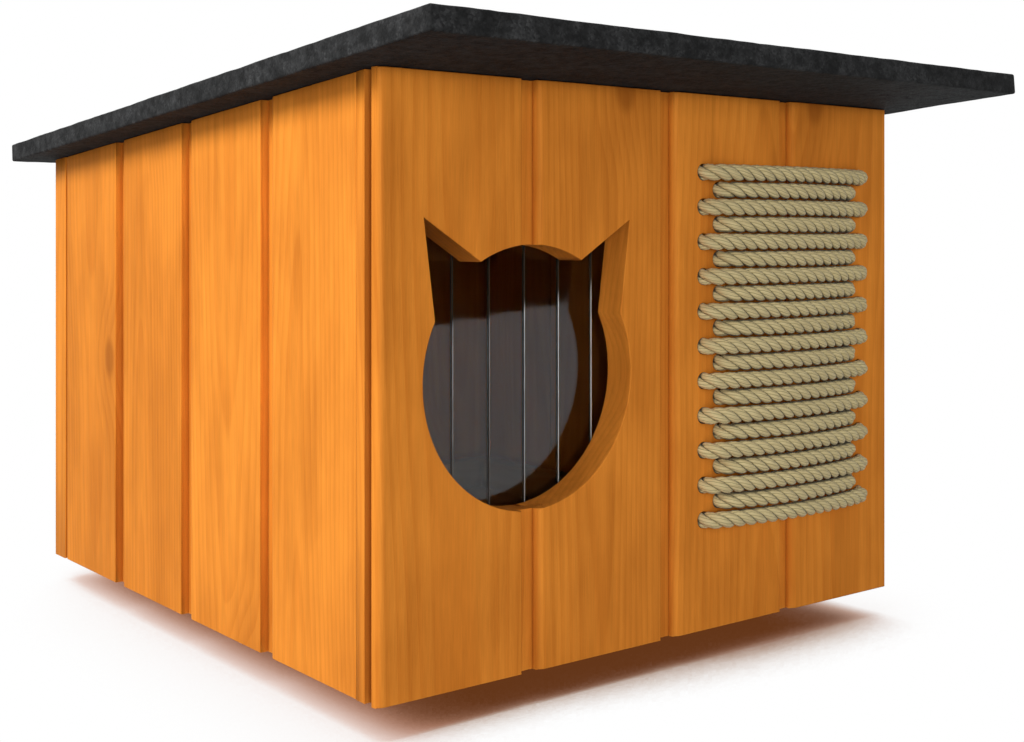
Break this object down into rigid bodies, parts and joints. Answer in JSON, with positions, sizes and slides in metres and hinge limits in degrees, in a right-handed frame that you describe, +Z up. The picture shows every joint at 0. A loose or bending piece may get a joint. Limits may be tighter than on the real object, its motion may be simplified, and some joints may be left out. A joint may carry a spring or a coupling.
{
  "type": "outdoor cat house",
  "caption": "Wooden outdoor cat house of tongue-and-groove boards with a cat-head entrance, strip curtain, rope scratching panel and a hinged, felted mono-pitch roof.",
  "frame": {"origin": "on the ground under the middle of the roof's outline", "axes": "+X along the front to the right, +Y from the front to the back, +Z up"},
  "size_m": [0.562, 0.6774, 0.4423],
  "materials": {
    "stained_pine": "honey stained and oiled pine",
    "plain_pine": "planed pine",
    "plywood": "sanded plywood",
    "roof_felt": "mineral-surfaced bitumen felt",
    "sisal": "three-strand sisal rope",
    "clear_pvc": "clear soft sheet",
    "zinc_steel": "zinc plated"
  },
  "bodies": {
    "house": {"back_board_1": "stained_pine", "back_board_2": "stained_pine", "back_board_3": "stained_pine", "back_board_4": "stained_pine", "bearer_left": "plain_pine", "bearer_right": "plain_pine", "bearer_screws": "zinc_steel", "bottom_rail_back": "plain_pine", "bottom_rail_front": "plain_pine", "bottom_rail_left": "plain_pine", "bottom_rail_right": "plain_pine", "curtain_backing_strip": "plain_pine", "curtain_batten": "plain_pine", "curtain_heading": "clear_pvc", "curtain_screws": "zinc_steel", "floor_panel": "plywood", "front_board_1": "stained_pine", "front_board_2": "stained_pine", "front_board_3": "stained_pine", "front_board_4": "stained_pine", "hinge_left_pin": "zinc_steel", "hinge_left_wall_leaf": "zinc_steel", "hinge_right_pin": "zinc_steel", "hinge_right_wall_leaf": "zinc_steel", "hinge_wall_screws": "zinc_steel", "left_board_1": "stained_pine", "left_board_2": "stained_pine", "left_board_3": "stained_pine", "left_board_4": "stained_pine", "right_board_1": "stained_pine", "right_board_2": "stained_pine", "right_board_3": "stained_pine", "right_board_4": "stained_pine", "rope_staples": "zinc_steel", "scratch_rope": "sisal", "top_rail_back": "plain_pine", "top_rail_front": "plain_pine", "top_rail_left": "plain_pine", "top_rail_right": "plain_pine"},
    "roof": {"roof_deck": "plywood", "roof_felt": "roof_felt", "roof_batten_front": "plain_pine", "roof_batten_back": "plain_pine", "hinge_left_roof_leaf": "zinc_steel", "hinge_right_roof_leaf": "zinc_steel", "hinge_roof_screws": "zinc_steel"},
    "strip_1": {"curtain_strip_1": "clear_pvc"},
    "strip_2": {"curtain_strip_2": "clear_pvc"},
    "strip_3": {"curtain_strip_3": "clear_pvc"},
    "strip_4": {"curtain_strip_4": "clear_pvc"},
    "strip_5": {"curtain_strip_5": "clear_pvc"},
    "strip_6": {"curtain_strip_6": "clear_pvc"},
    "strip_7": {"curtain_strip_7": "clear_pvc"}
  },
  "joints": [
    {"name": "roof_hinge", "type": "hinge", "parent": "house", "child": "roof", "pos_m": [0, 0.31508, 0.37966], "axis": [-1, 0, 0], "range_deg": [0, 95]},
    {"name": "strip_1_swing", "type": "hinge", "parent": "house", "child": "strip_1", "pos_m": [0, -0.20627, 0.32918], "axis": [1, 0, 0], "range_deg": [0, 70]},
    {"name": "strip_2_swing", "type": "hinge", "parent": "house", "child": "strip_2", "pos_m": [0, -0.20627, 0.32918], "axis": [1, 0, 0], "range_deg": [0, 70]},
    {"name": "strip_3_swing", "type": "hinge", "parent": "house", "child": "strip_3", "pos_m": [0, -0.20627, 0.32918], "axis": [1, 0, 0], "range_deg": [0, 70]},
    {"name": "strip_4_swing", "type": "hinge", "parent": "house", "child": "strip_4", "pos_m": [0, -0.20627, 0.32918], "axis": [1, 0, 0], "range_deg": [0, 70]},
    {"name": "strip_5_swing", "type": "hinge", "parent": "house", "child": "strip_5", "pos_m": [0, -0.20627, 0.32918], "axis": [1, 0, 0], "range_deg": [0, 70]},
    {"name": "strip_6_swing", "type": "hinge", "parent": "house", "child": "strip_6", "pos_m": [0, -0.20627, 0.32918], "axis": [1, 0, 0], "range_deg": [0, 70]},
    {"name": "strip_7_swing", "type": "hinge", "parent": "house", "child": "strip_7", "pos_m": [0, -0.20627, 0.32918], "axis": [1, 0, 0], "range_deg": [0, 70]}
  ]
}
